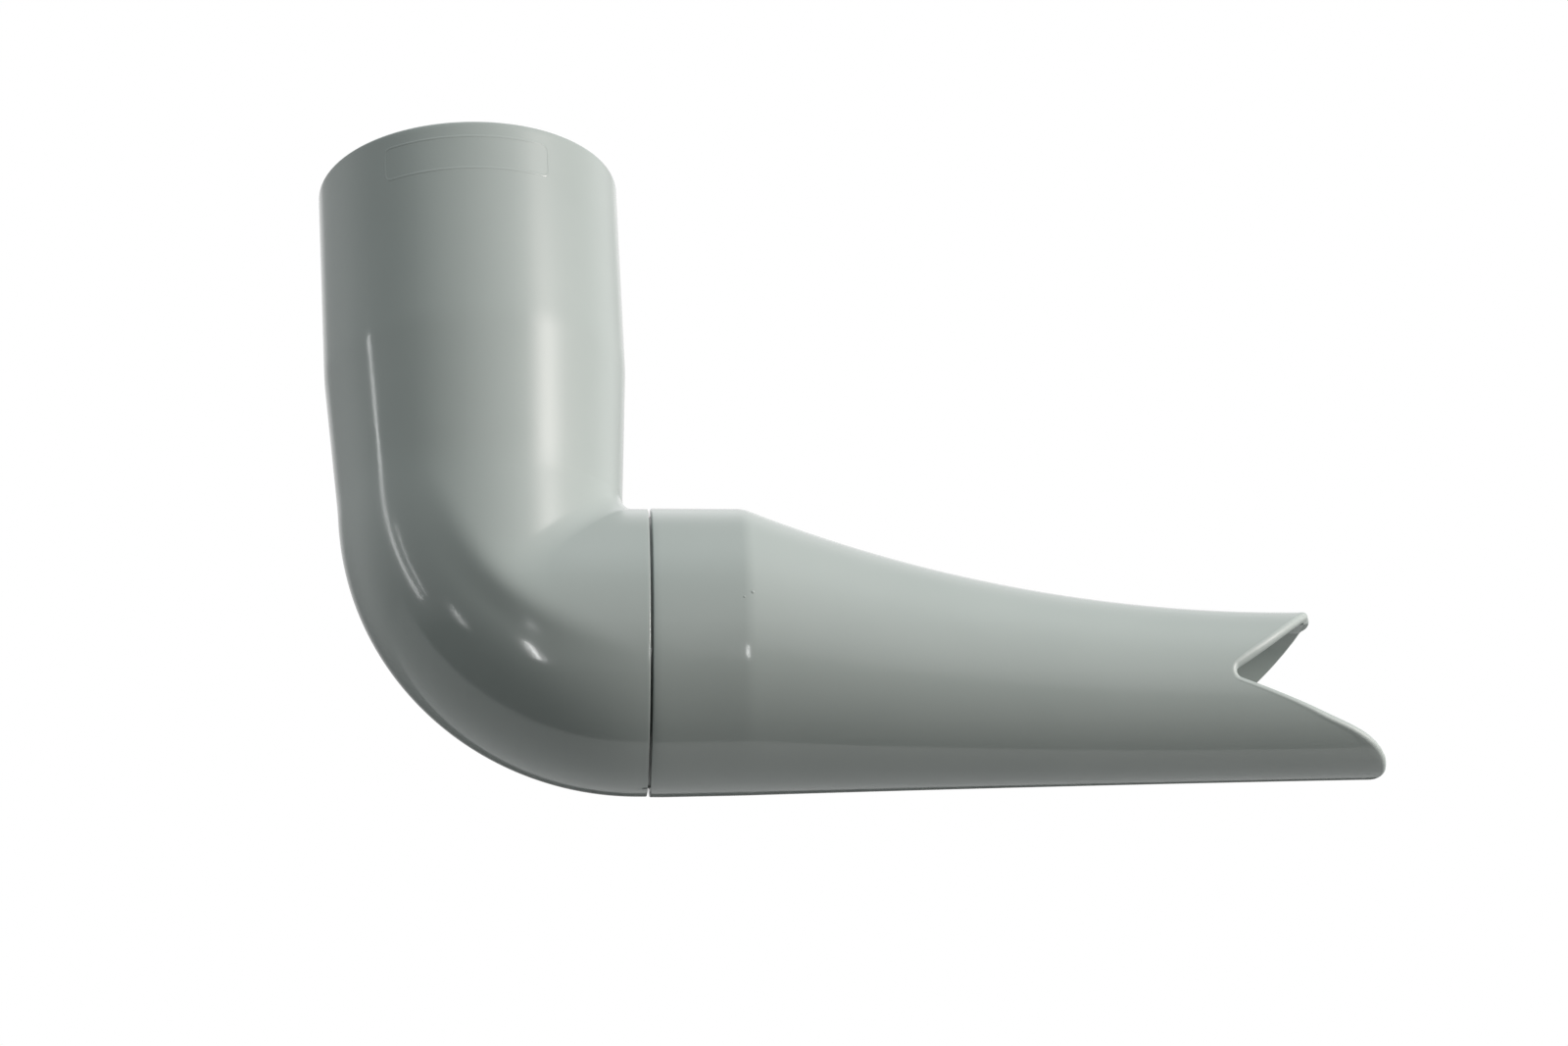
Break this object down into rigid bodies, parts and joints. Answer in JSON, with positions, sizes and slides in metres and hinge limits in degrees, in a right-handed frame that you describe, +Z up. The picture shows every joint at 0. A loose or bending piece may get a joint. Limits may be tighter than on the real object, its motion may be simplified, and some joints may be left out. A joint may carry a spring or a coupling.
{
  "type": "rainwater spout elbow",
  "caption": "Grey plastic rainwater outlet: a pipe socket on top, a tight bend, and a long tapering spout that slopes gently down and ends in a fish-mouth cut.",
  "frame": {"origin": "centre of the pipe socket's mouth, on the socket's axis, level with its rim", "axes": "+Z up out of the socket along its axis, +X the way the spout runs off, three degrees below the horizontal, +Y across it"},
  "size_m": [0.1919, 0.0578, 0.1277],
  "materials": {
    "grey_plastic": "satin moulded grey PVC"
  },
  "bodies": {
    "root": {"elbow": "grey_plastic", "spout": "grey_plastic"}
  },
  "joints": []
}
